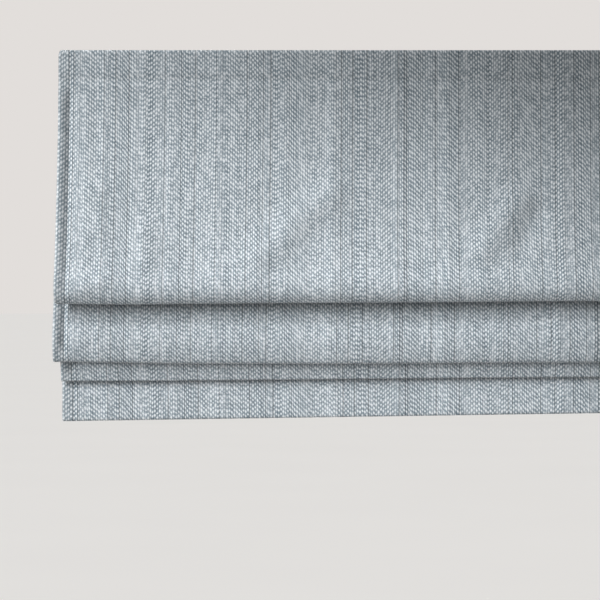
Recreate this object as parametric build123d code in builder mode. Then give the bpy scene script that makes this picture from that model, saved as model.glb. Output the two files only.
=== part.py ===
"""Cordless roman blind with a flat fold, hung from two wall brackets and drawn part of the way up.

Millimetres. +Z is up, the wall is the plane y = 0, the room is on the -Y side and X runs along the rail.
The origin is on the wall, in the middle of the four bracket screw holes.
"""

from build123d import *
import os

os.makedirs("parts", exist_ok=True)

# Cloth: finished width, and how far each edge hangs below the cloth's top edge
blind_width = 787.0
fold_drops = (291.0, 360.0, 380.0)
hem_drop = 422.0
face_thickness = 1.0
lining_thickness = 0.6
cloth_air = 1.4
fold_radius = 3.6
side_hem_width = 14.0
cloth_rise = 3.0
header_height = 38.0

# Front of the cloth at each fold, as distances from the wall
fold_fronts = (86.0, 62.0, 49.0)

# Ribs: where the first one is gathered to, and the spacing of the stack
rib_drop = 131.0
rib_pitch = 12.0
rib_radius = 2.0
rib_end_inset = 18.0
rib_clearance = 0.1
crease_rise = 2.5
crease_drop = 1.0
gather_drop = 8.0

# Rail: an open channel with lips turned in at the top
rail_inset = 3.5
rail_height = 38.0
rail_wall = 1.2
rail_lip = 9.0
rail_bend_radius = 1.5
wall_gap = 5.0
end_cap_thickness = 1.8
end_cap_plug = 8.0
end_cap_wall = 2.0
plug_clearance = 0.15

# Brackets, their twist levers and rivets
bracket_inset = 60.5
bracket_width = 40.0
bracket_thickness = 1.6
bracket_drop = 16.0
bracket_bend_radius = 3.0
screw_spacing = 20.0
screw_hole_radius = 2.25
lever_grip = 5.7
lever_width = 12.0
lever_thickness = 2.5
lever_boss_radius = 5.5
lever_clearance = 0.3
rivet_radius = 2.5
rivet_head_radius = 4.2
rivet_head_height = 1.0
pivot_clearance = 0.05

# Hook and loop tape
tape_height = 20.0
tape_thickness = 1.2
tape_inset = 8.0

# Lift cords, spools and the shaft that joins them
cord_inset = 110.5
cord_radius = 0.7
cord_behind_rib = 8.0
shaft_across_flats = 5.0
shaft_overhang = 22.0
shaft_clearance = 0.1
spool_core_radius = 7.0
winding_thickness = 1.4
spool_flange_radius = 11.0
spool_flange_thickness = 1.5
spool_width = 24.0
hub_radius = 4.0
bearing_clearance = 0.05
side_play = 0.3
cheek_thickness = 2.0
cradle_gap = 1.3
drum_clearance = 0.8

# Spring motor
motor_width = 70.0
motor_side_gap = 2.9
output_core_radius = 7.0
output_flange_radius = 10.5
output_coil_thickness = 2.2
storage_core_radius = 4.2
storage_flange_radius = 6.4
storage_coil_thickness = 1.2
storage_hub_radius = 2.6
drum_gap = 1.0
coil_clearance = 0.1
strip_thickness = 0.3
motor_cover_thickness = 1.2
motor_floor_thickness = 1.5

# Cord outlets, eyes and stops
grommet_bore_radius = 2.0
grommet_radius = 4.5
grommet_flange_radius = 6.5
grommet_flange_height = 1.2
grommet_clearance = 0.1
eye_bore_radius = 2.6
eye_height = 3.0
clip_wall = 1.4
clip_width = 8.0
stop_radius = 3.4
stop_height = 6.0

# Hem bar
bar_height = 19.0
bar_thickness = 3.0
bar_inset = 20.0
bar_clearance = 0.2
bar_cap_length = 10.0
hem_pocket_height = 38.0
hem_fold_radius = 1.4

# The rail is as deep as the motor that it holds, and its origin height is at its middle
rail_length = blind_width - 2 * rail_inset
motor_depth = 2 * (output_flange_radius + storage_flange_radius) + 3 * drum_gap
rail_inner_depth = motor_depth + 2 * motor_side_gap
rail_depth = rail_inner_depth + 2 * rail_wall
rail_top = rail_height / 2
rail_floor = -rail_top + rail_wall
rail_back = -wall_gap
rail_front = rail_back - rail_depth
rail_middle = rail_back - rail_depth / 2
slot_width = rail_inner_depth - 2 * rail_lip
lever_length = slot_width + 2 * lever_grip

# The lift shaft is the motor's front axle, and its height clears the spools
motor_front = rail_front + rail_wall + motor_side_gap
motor_middle = motor_front + motor_depth / 2
shaft_y = motor_front + drum_gap + output_flange_radius
shaft_height = rail_floor + motor_floor_thickness + drum_clearance + spool_flange_radius

# Cloth levels: the seam is where the face cloth and the lining meet
cloth_top = rail_top + cloth_rise
header_seam = rail_front - 2 * tape_thickness - lining_thickness
header_bottom = cloth_top - header_height
fold_levels = [cloth_top - drop for drop in fold_drops]
hem_level = cloth_top - hem_drop
rib_levels = [cloth_top - rib_drop - i * rib_pitch for i in range(3)]
layer = face_thickness + lining_thickness + cloth_air

# The ribs lie in line behind the hem section, and the cords run behind the ribs
winding_radius = spool_core_radius + winding_thickness
cord_y = shaft_y + winding_radius + cord_radius + coil_clearance
rib_y = cord_y - cord_behind_rib
eye_radius = cord_behind_rib - rib_radius - clip_wall / 2
hem_seam = rib_y - rib_radius - rib_clearance - lining_thickness

cord_xs = (-(blind_width / 2 - cord_inset), blind_width / 2 - cord_inset)
bracket_xs = (-(blind_width / 2 - bracket_inset), blind_width / 2 - bracket_inset)
sides = ("left", "right")


def layer_y(count):
    """Seam of a run of cloth that hangs this many layers in front of the hem section."""
    return hem_seam - count * layer


# ---------------------------------------------------------------------------
# Rail: rolled steel channel, open at the top, with a round hole under each spool
# ---------------------------------------------------------------------------
with BuildPart() as headrail:
    with BuildSketch(Plane.YZ.offset(-rail_length / 2)) as section:
        with Locations((rail_middle, 0)):
            Rectangle(rail_depth, rail_height)
            Rectangle(rail_depth - 2 * rail_wall, rail_height - 2 * rail_wall, mode=Mode.SUBTRACT)
        with Locations((rail_middle, rail_top - rail_wall / 2)):
            Rectangle(slot_width, rail_wall, mode=Mode.SUBTRACT)
        outer_corners = section.vertices().group_by(Axis.Y)[0]
        fillet(outer_corners, rail_bend_radius)
    extrude(amount=rail_length)
    with Locations(*[(x, cord_y, -rail_top + rail_wall / 2) for x in cord_xs]):
        Cylinder(grommet_radius + grommet_clearance, 2 * rail_wall, mode=Mode.SUBTRACT)
headrail.part.label = "headrail"
export_step(headrail.part, "parts/headrail.step")


# ---------------------------------------------------------------------------
# End caps: moulded plates with a hollow plug that fits inside the channel
# ---------------------------------------------------------------------------
for side, direction in zip(sides, (-1, 1)):
    plug_depth = rail_inner_depth - 2 * plug_clearance
    plug_height = rail_height - 2 * rail_wall - 2 * plug_clearance
    with BuildPart() as end_cap:
        with BuildSketch(Plane.YZ.offset(direction * rail_length / 2)):
            with Locations((rail_middle, 0)):
                RectangleRounded(rail_depth, rail_height, rail_bend_radius)
        extrude(amount=direction * end_cap_thickness)
        with BuildSketch(Plane.YZ.offset(direction * rail_length / 2)):
            with Locations((rail_middle, 0)):
                Rectangle(plug_depth, plug_height)
                Rectangle(plug_depth - 2 * end_cap_wall, plug_height - 2 * end_cap_wall, mode=Mode.SUBTRACT)
        extrude(amount=-direction * end_cap_plug)
    end_cap.part.label = f"end_cap_{side}"
    export_step(end_cap.part, f"parts/end_cap_{side}.step")


# ---------------------------------------------------------------------------
# Wall brackets: bent plate with two screw holes behind the rail and a shelf over it
# ---------------------------------------------------------------------------
shelf_bottom = rail_top + lever_clearance
shelf_top = shelf_bottom + bracket_thickness
shelf_front = rail_front + rail_wall
lever_top = rail_top - rail_wall - lever_clearance
lever_bottom = lever_top - lever_thickness

for side, x in zip(sides, bracket_xs):
    with BuildPart() as wall_bracket:
        with BuildSketch(Plane.YZ.offset(x - bracket_width / 2)) as profile:
            with BuildLine():
                Polyline(
                    (0, -bracket_drop),
                    (0, shelf_top),
                    (shelf_front, shelf_top),
                    (shelf_front, shelf_bottom),
                    (-bracket_thickness, shelf_bottom),
                    (-bracket_thickness, -bracket_drop),
                    close=True,
                )
            make_face()
            bend = profile.vertices().sort_by_distance((0, shelf_top))[0]
            fillet(bend, bracket_bend_radius)
        extrude(amount=bracket_width)
        with Locations(*[(x, -bracket_thickness / 2, z) for z in (-screw_spacing / 2, screw_spacing / 2)]):
            Cylinder(screw_hole_radius, 2 * bracket_thickness, rotation=(90, 0, 0), mode=Mode.SUBTRACT)
        with Locations((x, rail_middle, shelf_bottom + bracket_thickness / 2)):
            Cylinder(rivet_radius + pivot_clearance, 2 * bracket_thickness, mode=Mode.SUBTRACT)
    wall_bracket.part.label = f"wall_bracket_{side}"
    export_step(wall_bracket.part, f"parts/wall_bracket_{side}.step")

    # Twist lever: its ends turn in under the rail's lips, and its boss stands on the shelf
    with BuildPart() as lever:
        with BuildSketch(Plane.XY.offset(lever_bottom)):
            with Locations((x, rail_middle)):
                SlotOverall(lever_length, lever_width, rotation=90)
        extrude(amount=lever_thickness)
        with BuildSketch(Plane.XY.offset(lever_top)):
            with Locations((x, rail_middle)):
                Circle(lever_boss_radius)
        extrude(amount=shelf_bottom - lever_top - pivot_clearance)
        with Locations((x, rail_middle, lever_top)):
            Cylinder(rivet_radius + pivot_clearance, 4 * lever_thickness, mode=Mode.SUBTRACT)
    lever.part.label = f"twist_lever_{side}"
    export_step(lever.part, f"parts/twist_lever_{side}.step")

    # Rivet: holds the lever up against the shelf and lets it turn
    with BuildPart() as rivet:
        with BuildSketch(Plane.XY.offset(shelf_top)):
            with Locations((x, rail_middle)):
                Circle(rivet_head_radius)
        extrude(amount=rivet_head_height)
        with BuildSketch(Plane.XY.offset(shelf_top)):
            with Locations((x, rail_middle)):
                Circle(rivet_radius)
        extrude(amount=-(shelf_top - lever_bottom + pivot_clearance))
        with BuildSketch(Plane.XY.offset(lever_bottom - pivot_clearance)):
            with Locations((x, rail_middle)):
                Circle(rivet_head_radius)
        extrude(amount=-rivet_head_height)
    rivet.part.label = f"lever_rivet_{side}"
    export_step(rivet.part, f"parts/lever_rivet_{side}.step")


# ---------------------------------------------------------------------------
# Hook tape stuck to the rail's front, and loop tape sewn to the cloth
# ---------------------------------------------------------------------------
for name, back_y in (("hook_tape", rail_front), ("loop_tape", rail_front - tape_thickness)):
    with BuildPart() as tape:
        with Locations((0, back_y - tape_thickness / 2, rail_top - rail_bend_radius)):
            Box(rail_length - 2 * tape_inset, tape_thickness, tape_height,
                align=(Align.CENTER, Align.CENTER, Align.MAX))
    tape.part.label = name
    export_step(tape.part, f"parts/{name}.step")


# ---------------------------------------------------------------------------
# Lift shaft: hexagonal rod, in the spring motor's drum and both cord spools
# ---------------------------------------------------------------------------
shaft_length = 2 * (cord_xs[1] + shaft_overhang)
hex_radius = shaft_across_flats / 3**0.5


def shaft_hole(length, x):
    """Cuts the hexagonal hole that a drum or spool has for the lift shaft."""
    with BuildSketch(Plane.YZ.offset(x - length / 2)) as hexagon:
        with Locations((shaft_y, shaft_height)):
            RegularPolygon(hex_radius + shaft_clearance, 6)
    extrude(hexagon.sketch, amount=length, mode=Mode.SUBTRACT)


def turned_on_shaft(radius, length, x, y=shaft_y):
    """Adds a round stretch that is centred on a shaft along X."""
    with Locations((x, y, shaft_height)):
        Cylinder(radius, length, rotation=(0, 90, 0))


with BuildPart() as lift_shaft:
    with BuildSketch(Plane.YZ.offset(-shaft_length / 2)):
        with Locations((shaft_y, shaft_height)):
            RegularPolygon(hex_radius, 6)
    extrude(amount=shaft_length)
lift_shaft.part.label = "lift_shaft"
export_step(lift_shaft.part, "parts/lift_shaft.step")

cradle_width = spool_width + 2 * side_play + 2 * cheek_thickness
cradle_depth = rail_inner_depth - 2 * cradle_gap
cheek_depth = 2 * (spool_flange_radius + drum_clearance)
cradle_floor_top = rail_floor + motor_floor_thickness

for side, x in zip(sides, cord_xs):
    # Cord spool: flanged, with a hub at each end that turns in the cradle
    with BuildPart() as spool:
        turned_on_shaft(spool_core_radius, spool_width, x)
        for end in (-1, 1):
            turned_on_shaft(
                spool_flange_radius,
                spool_flange_thickness,
                x + end * (spool_width - spool_flange_thickness) / 2,
            )
        turned_on_shaft(hub_radius, cradle_width, x)
        shaft_hole(cradle_width, x)
    spool.part.label = f"cord_spool_{side}"
    export_step(spool.part, f"parts/cord_spool_{side}.step")

    # The wound cord: a sleeve of turns between the flanges
    winding_width = spool_width - 2 * spool_flange_thickness - 2 * side_play
    with BuildPart() as winding:
        turned_on_shaft(winding_radius, winding_width, x)
        with Locations((x, shaft_y, shaft_height)):
            Cylinder(spool_core_radius + bearing_clearance, 2 * winding_width, rotation=(0, 90, 0),
                     mode=Mode.SUBTRACT)
    winding.part.label = f"cord_winding_{side}"
    export_step(winding.part, f"parts/cord_winding_{side}.step")

    # Cradle: a floor on the rail's floor, with a bearing cheek at each end of the spool
    cheek_top = shaft_height + hub_radius + cheek_thickness
    with BuildPart() as cradle:
        with Locations((x, rail_middle, rail_floor)):
            Box(cradle_width, cradle_depth, motor_floor_thickness,
                align=(Align.CENTER, Align.CENTER, Align.MIN))
        for end in (-1, 1):
            with Locations((x + end * (cradle_width - cheek_thickness) / 2, shaft_y, rail_floor)):
                Box(cheek_thickness, cheek_depth, cheek_top - rail_floor,
                    align=(Align.CENTER, Align.CENTER, Align.MIN))
        with Locations((x, shaft_y, shaft_height)):
            Cylinder(hub_radius + bearing_clearance, 2 * cradle_width, rotation=(0, 90, 0),
                     mode=Mode.SUBTRACT)
        with Locations((x, cord_y, rail_floor)):
            Cylinder(grommet_radius + grommet_clearance, 4 * motor_floor_thickness, mode=Mode.SUBTRACT)
    cradle.part.label = f"spool_cradle_{side}"
    export_step(cradle.part, f"parts/spool_cradle_{side}.step")

    # Outlet grommet: lines the hole in the rail's floor where the cord comes out
    with BuildPart() as grommet:
        with BuildSketch(Plane.XY.offset(-rail_top)):
            with Locations((x, cord_y)):
                Circle(grommet_flange_radius)
        extrude(amount=-grommet_flange_height)
        with BuildSketch(Plane.XY.offset(-rail_top)):
            with Locations((x, cord_y)):
                Circle(grommet_radius)
        extrude(amount=cradle_floor_top + rail_top)
        with Locations((x, cord_y, -rail_top)):
            Cylinder(grommet_bore_radius, 8 * motor_floor_thickness, mode=Mode.SUBTRACT)
    grommet.part.label = f"cord_grommet_{side}"
    export_step(grommet.part, f"parts/cord_grommet_{side}.step")

    # Lift cord: straight down from the spool through the eyes to its stop
    stop_top = rib_levels[2] - eye_height / 2 - side_play
    with BuildPart() as cord:
        with BuildSketch(Plane.XY.offset(stop_top)):
            with Locations((x, cord_y)):
                Circle(cord_radius)
        extrude(amount=shaft_height - stop_top)
    cord.part.label = f"lift_cord_{side}"
    export_step(cord.part, f"parts/lift_cord_{side}.step")

    # Cord stop: the bead that the cord is tied off in, under the lowest eye
    with BuildPart() as stop:
        with Locations((x, cord_y, stop_top)):
            Cylinder(stop_radius, stop_height, align=(Align.CENTER, Align.CENTER, Align.MAX))
        fillet(stop.edges().filter_by(GeomType.CIRCLE), stop_radius / 3)
    stop.part.label = f"cord_stop_{side}"
    export_step(stop.part, f"parts/cord_stop_{side}.step")


# ---------------------------------------------------------------------------
# Spring motor: a drum on the lift shaft, a storage drum beside it, and the strip between
# ---------------------------------------------------------------------------
storage_y = shaft_y + output_flange_radius + drum_gap + storage_flange_radius
drum_width = motor_width - 2 * cheek_thickness - 2 * side_play
coil_width = drum_width - 2 * spool_flange_thickness - 2 * side_play

with BuildPart() as output_drum:
    turned_on_shaft(output_core_radius, drum_width, 0)
    for end in (-1, 1):
        turned_on_shaft(
            output_flange_radius,
            spool_flange_thickness,
            end * (drum_width - spool_flange_thickness) / 2,
        )
    turned_on_shaft(hub_radius, motor_width, 0)
    shaft_hole(motor_width, 0)
output_drum.part.label = "motor_output_drum"
export_step(output_drum.part, "parts/motor_output_drum.step")

with BuildPart() as storage_drum:
    turned_on_shaft(storage_core_radius, drum_width, 0, storage_y)
    for end in (-1, 1):
        turned_on_shaft(
            storage_flange_radius,
            spool_flange_thickness,
            end * (drum_width - spool_flange_thickness) / 2,
            storage_y,
        )
    turned_on_shaft(storage_hub_radius, motor_width, 0, storage_y)
storage_drum.part.label = "motor_storage_drum"
export_step(storage_drum.part, "parts/motor_storage_drum.step")

output_coil_radius = output_core_radius + output_coil_thickness
storage_coil_radius = storage_core_radius + storage_coil_thickness
with BuildPart() as motor_spring:
    with BuildSketch(Plane.YZ.offset(-coil_width / 2)):
        with Locations((shaft_y, shaft_height)):
            Circle(output_coil_radius)
        with Locations((storage_y, shaft_height)):
            Circle(storage_coil_radius)
        with BuildLine():
            Polyline(
                (storage_y, shaft_height + storage_coil_radius),
                (shaft_y, shaft_height + output_coil_radius),
                (shaft_y, shaft_height + output_coil_radius - strip_thickness),
                (storage_y, shaft_height + storage_coil_radius - strip_thickness),
                close=True,
            )
        make_face()
        with Locations((shaft_y, shaft_height)):
            Circle(output_core_radius + coil_clearance, mode=Mode.SUBTRACT)
        with Locations((storage_y, shaft_height)):
            Circle(storage_core_radius + coil_clearance, mode=Mode.SUBTRACT)
    extrude(amount=coil_width)
motor_spring.part.label = "motor_spring"
export_step(motor_spring.part, "parts/motor_spring.step")

motor_top = shaft_height + output_flange_radius + drum_gap

with BuildPart() as motor_frame:
    with Locations((0, motor_middle, rail_floor)):
        Box(motor_width, motor_depth, motor_floor_thickness, align=(Align.CENTER, Align.CENTER, Align.MIN))
    for end in (-1, 1):
        with Locations((end * (motor_width - cheek_thickness) / 2, motor_middle, rail_floor)):
            Box(cheek_thickness, motor_depth, motor_top - rail_floor,
                align=(Align.CENTER, Align.CENTER, Align.MIN))
    with Locations((0, shaft_y, shaft_height)):
        Cylinder(hub_radius + bearing_clearance, 2 * motor_width, rotation=(0, 90, 0), mode=Mode.SUBTRACT)
    with Locations((0, storage_y, shaft_height)):
        Cylinder(storage_hub_radius + bearing_clearance, 2 * motor_width, rotation=(0, 90, 0),
                 mode=Mode.SUBTRACT)
motor_frame.part.label = "motor_frame"
export_step(motor_frame.part, "parts/motor_frame.step")

with BuildPart() as motor_cover:
    with Locations((0, motor_middle, motor_top)):
        Box(motor_width, motor_depth, motor_cover_thickness, align=(Align.CENTER, Align.CENTER, Align.MIN))
    fillet(motor_cover.edges().filter_by(Axis.Z), 3 * motor_cover_thickness)
motor_cover.part.label = "motor_cover"
export_step(motor_cover.part, "parts/motor_cover.step")


# ---------------------------------------------------------------------------
# Ribs: round rods in the creases, each with two clips that carry the cord eyes
# ---------------------------------------------------------------------------
rib_length = blind_width - 2 * rib_end_inset
clip_radius = rib_radius + clip_wall

for number, level in enumerate(rib_levels, start=1):
    with BuildPart() as rib:
        with BuildSketch(Plane.YZ.offset(-rib_length / 2)):
            with Locations((rib_y, level)):
                Circle(rib_radius)
        extrude(amount=rib_length)
        fillet(rib.edges().filter_by(GeomType.CIRCLE), rib_radius / 4)
    rib.part.label = f"rib_{number}"
    export_step(rib.part, f"parts/rib_{number}.step")

    for side, x in zip(sides, cord_xs):
        with BuildPart() as eye:
            with BuildSketch(Plane.YZ.offset(x - clip_width / 2)):
                with Locations((rib_y, level)):
                    Circle(clip_radius)
            extrude(amount=clip_width)
            with Locations((x, cord_y, level)):
                Cylinder(eye_radius, eye_height)
            with Locations((x, cord_y, level)):
                Cylinder(eye_bore_radius, 2 * eye_height, mode=Mode.SUBTRACT)
            with Locations((x, rib_y, level)):
                Cylinder(rib_radius + bearing_clearance, 2 * clip_width, rotation=(0, 90, 0),
                         mode=Mode.SUBTRACT)
                Box(2 * clip_width, 2 * clip_radius, 2 * clip_radius,
                    align=(Align.CENTER, Align.MAX, Align.CENTER), mode=Mode.SUBTRACT)
        eye.part.label = f"cord_eye_{number}_{side}"
        export_step(eye.part, f"parts/cord_eye_{number}_{side}.step")


# ---------------------------------------------------------------------------
# Cloth: one section from crease to crease, each a face cloth sewn to a lining
# ---------------------------------------------------------------------------
gather_levels = [level - gather_drop for level in rib_levels]
lining_width = blind_width - 2 * side_hem_width


def fold_points(number):
    """Seam corners at a fold's lower edge: front, then back."""
    front = -fold_fronts[number] + face_thickness
    bottom = fold_levels[number] + face_thickness
    return [(front, bottom), (front + 2 * fold_radius, bottom)]


def crease_points(number):
    """Seam corners where a section starts, close to the rib that it hangs from."""
    level = rib_levels[number]
    return [(hem_seam, level + crease_rise), (hem_seam, level - crease_drop)]


section_paths = {
    1: [
        (header_seam, cloth_top),
        (header_seam, header_bottom),
        *fold_points(0),
        (layer_y(5), gather_levels[2]),
        (layer_y(5), gather_levels[1]),
        (layer_y(3), gather_levels[0]),
        (layer_y(1.5), rib_levels[0]),
    ],
    2: [
        *crease_points(0),
        (layer_y(2), gather_levels[0]),
        (layer_y(4), gather_levels[1]),
        (layer_y(4), gather_levels[2]),
        *fold_points(1),
        (layer_y(3), gather_levels[2]),
        (layer_y(3), gather_levels[1]),
        (layer_y(1.5), rib_levels[1]),
    ],
    3: [
        *crease_points(1),
        (layer_y(2), gather_levels[1]),
        (layer_y(2), gather_levels[2]),
        *fold_points(2),
        (layer_y(1), gather_levels[2]),
        (layer_y(1), rib_levels[2]),
    ],
}
fold_corners = {1: (1, 2), 2: (4, 5), 3: (3, 4)}  # places among a path's corners


bend_radius = 2 * face_thickness
fold_corner_radius = 0.9 * fold_radius


def corner_radii(number):
    """One radius for each corner: round at the fold, tight where the cloth only bends."""
    corners = range(len(section_paths[number]) - 2)
    return [fold_corner_radius if i in fold_corners[number] else bend_radius for i in corners]


for number in (1, 2, 3):
    for name, thickness, side, width in (
        ("face_cloth", face_thickness, Side.RIGHT, blind_width),
        ("lining", lining_thickness, Side.LEFT, lining_width),
    ):
        with BuildPart() as cloth:
            with BuildSketch(Plane.YZ.offset(-width / 2)):
                with BuildLine():
                    FilletPolyline(*section_paths[number], radius=corner_radii(number))
                    offset(amount=thickness, side=side)
                make_face()
            extrude(amount=width)
        cloth.part.label = f"{name}_{number}"
        export_step(cloth.part, f"parts/{name}_{number}.step")

# Hem section: the face cloth turns up behind the hem bar to make its pocket
hem_top = rib_levels[2] + crease_rise
hem_turn = hem_level + face_thickness
pocket_depth = bar_thickness + 2 * bar_clearance
pocket_back = hem_seam + pocket_depth
with BuildPart() as hem_cloth:
    with BuildSketch(Plane.YZ.offset(-blind_width / 2)):
        with BuildLine():
            FilletPolyline(
                (hem_seam, hem_top),
                (hem_seam, hem_turn),
                (pocket_back, hem_turn),
                (pocket_back, hem_turn + hem_pocket_height),
                radius=hem_fold_radius,
            )
            offset(amount=face_thickness, side=Side.RIGHT)
        make_face()
    extrude(amount=blind_width)
hem_cloth.part.label = "face_cloth_4"
export_step(hem_cloth.part, "parts/face_cloth_4.step")

bar_bottom = hem_turn + hem_fold_radius
lining_bottom = bar_bottom + bar_height + bar_clearance
with BuildPart() as hem_lining:
    with Locations((0, hem_seam, lining_bottom)):
        Box(lining_width, lining_thickness, hem_top - lining_bottom,
            align=(Align.CENTER, Align.MIN, Align.MIN))
hem_lining.part.label = "lining_4"
export_step(hem_lining.part, "parts/lining_4.step")

bar_length = blind_width - 2 * bar_inset
with BuildPart() as hem_bar:
    with Locations((0, hem_seam + bar_clearance, bar_bottom)):
        Box(bar_length, bar_thickness, bar_height, align=(Align.CENTER, Align.MIN, Align.MIN))
    fillet(hem_bar.edges().filter_by(Axis.X), bar_thickness / 4)
hem_bar.part.label = "hem_bar"
export_step(hem_bar.part, "parts/hem_bar.step")

for side, direction in zip(sides, (-1, 1)):
    align_x = Align.MAX if direction < 0 else Align.MIN
    with BuildPart() as bar_cap:
        with Locations((direction * bar_length / 2, hem_seam + bar_clearance, bar_bottom)):
            Box(bar_cap_length, bar_thickness, bar_height, align=(align_x, Align.MIN, Align.MIN))
        outer_edges = bar_cap.faces().sort_by(Axis.X)[-1 if direction > 0 else 0].edges()
        fillet(outer_edges, bar_thickness / 4)
    bar_cap.part.label = f"hem_bar_cap_{side}"
    export_step(bar_cap.part, f"parts/hem_bar_cap_{side}.step")
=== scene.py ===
import math
import bpy
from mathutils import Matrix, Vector, noise
from mathutils.bvhtree import BVHTree


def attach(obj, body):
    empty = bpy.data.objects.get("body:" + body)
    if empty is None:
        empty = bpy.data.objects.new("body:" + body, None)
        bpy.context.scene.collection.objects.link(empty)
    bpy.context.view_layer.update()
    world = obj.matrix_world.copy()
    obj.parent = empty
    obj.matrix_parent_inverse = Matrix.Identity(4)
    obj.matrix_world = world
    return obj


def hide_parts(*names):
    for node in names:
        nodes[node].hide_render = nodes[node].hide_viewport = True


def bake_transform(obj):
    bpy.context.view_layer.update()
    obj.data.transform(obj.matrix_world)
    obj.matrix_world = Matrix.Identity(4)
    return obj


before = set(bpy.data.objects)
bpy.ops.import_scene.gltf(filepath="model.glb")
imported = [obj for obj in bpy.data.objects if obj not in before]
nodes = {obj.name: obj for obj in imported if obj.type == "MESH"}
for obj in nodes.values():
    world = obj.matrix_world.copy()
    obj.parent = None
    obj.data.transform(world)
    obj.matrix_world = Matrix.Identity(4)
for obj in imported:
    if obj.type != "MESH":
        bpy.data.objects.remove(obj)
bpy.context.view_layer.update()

mm = 0.001
bpy.ops.object.select_all(action="DESELECT")
bpy.context.scene.view_settings.view_transform = "Standard"

# ----------------------------------------
# Camera. It stands level with the lowest part of the main panel and looks
# straight at the wall, a little left of the middle of the blind.
# ----------------------------------------
bpy.ops.object.camera_add(location=(-0.1158, -2.254, -0.2655), rotation=(math.pi / 2, 0, 0))
camera = bpy.context.object
camera.data.sensor_width = 36
camera.data.lens = 114.8
bpy.context.scene.camera = camera


# ----------------------------------------
# Wall brackets, their twist levers and rivets. Folded and pressed from mild
# steel strip and zinc plated in a barrel, which leaves a soft grey metal with
# a faint cloudy bloom. Each lever turns on its rivet and grips the headrail.
# ----------------------------------------
def linear(hex_colour):
    """An sRGB hex value as linear light, with alpha."""
    channels = [int(hex_colour[i : i + 2], 16) / 255 for i in (0, 2, 4)]
    return [c / 12.92 if c <= 0.04045 else ((c + 0.055) / 1.055) ** 2.4 for c in channels] + [1.0]


def add_node(tree, kind, inputs=(), **settings):
    """Adds a node; inputs pairs a socket with a node, a socket or a value."""
    node = tree.nodes.new(kind)
    for name, value in settings.items():
        setattr(node, name, value)
    for key, value in dict(inputs).items():
        if isinstance(value, bpy.types.Node):
            tree.links.new(value.outputs[0], node.inputs[key])
        elif isinstance(value, bpy.types.NodeSocket):
            tree.links.new(value, node.inputs[key])
        else:
            node.inputs[key].default_value = value
    return node


def new_material(name, **sockets):
    """A material with only its shader, whose constant sockets are given."""
    material = bpy.data.materials.new(name)
    material.use_nodes = True
    shader = material.node_tree.nodes["Principled BSDF"]
    for socket, value in sockets.items():
        shader.inputs[socket.replace("_", " ")].default_value = value
    return material, material.node_tree, shader


def finish_nodes(material, *names):
    """Gives carried-over pieces their finish."""
    for name in names:
        nodes[name].data.materials.clear()
        nodes[name].data.materials.append(material)


# Barrel-plated zinc: dull silver, clouded at about 6 mm, fine tumbling marks.
zinc, tree, shader = new_material("zinc_plated_steel", Metallic=1.0, Roughness=0.42)
place = add_node(tree, "ShaderNodeTexCoord")
cloud = add_node(
    tree, "ShaderNodeTexNoise", {"Vector": place.outputs["Object"], "Scale": 160.0, "Detail": 3.0}
)
tone = add_node(tree, "ShaderNodeValToRGB", {"Fac": cloud})
for stop, position, colour in zip(tone.color_ramp.elements, (0.35, 0.68), ("A9ADB0", "C9CCCD")):
    stop.position, stop.color = position, linear(colour)
tree.links.new(tone.outputs[0], shader.inputs["Base Color"])
rough = add_node(tree, "ShaderNodeMapRange", {"Value": cloud, "To Min": 0.34, "To Max": 0.52})
tree.links.new(rough.outputs[0], shader.inputs["Roughness"])
marks = add_node(
    tree, "ShaderNodeTexNoise", {"Vector": place.outputs["Object"], "Scale": 1400.0, "Detail": 2.0}
)
bump = add_node(tree, "ShaderNodeBump", {"Height": marks, "Strength": 0.25, "Distance": 0.00015})
tree.links.new(bump.outputs[0], shader.inputs["Normal"])
finish_nodes(
    zinc,
    "wall_bracket_left",
    "wall_bracket_right",
    "twist_lever_left",
    "twist_lever_right",
    "lever_rivet_left",
    "lever_rivet_right",
)

# ----------------------------------------
# Headrail: a channel roll-formed from 1.2 mm steel strip, open at the top,
# and powder coated white. The coat has a fine orange peel of about 1 mm.
# ----------------------------------------
powder_coat, tree, shader = new_material(
    "white_powder_coat", Base_Color=linear("E9E8E3"), Roughness=0.42
)
place = add_node(tree, "ShaderNodeTexCoord")
peel = add_node(
    tree, "ShaderNodeTexNoise", {"Vector": place.outputs["Object"], "Scale": 900.0, "Detail": 1.5}
)
dust = add_node(
    tree, "ShaderNodeTexNoise", {"Vector": place.outputs["Object"], "Scale": 24.0, "Detail": 4.0}
)
tone = add_node(tree, "ShaderNodeValToRGB", {"Fac": dust})
for stop, position, colour in zip(tone.color_ramp.elements, (0.3, 0.7), ("E2E1DB", "EDECE8")):
    stop.position, stop.color = position, linear(colour)
tree.links.new(tone.outputs[0], shader.inputs["Base Color"])
bump = add_node(tree, "ShaderNodeBump", {"Height": peel, "Strength": 0.3, "Distance": 0.0002})
tree.links.new(bump.outputs[0], shader.inputs["Normal"])
finish_nodes(powder_coat, "headrail")

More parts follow.
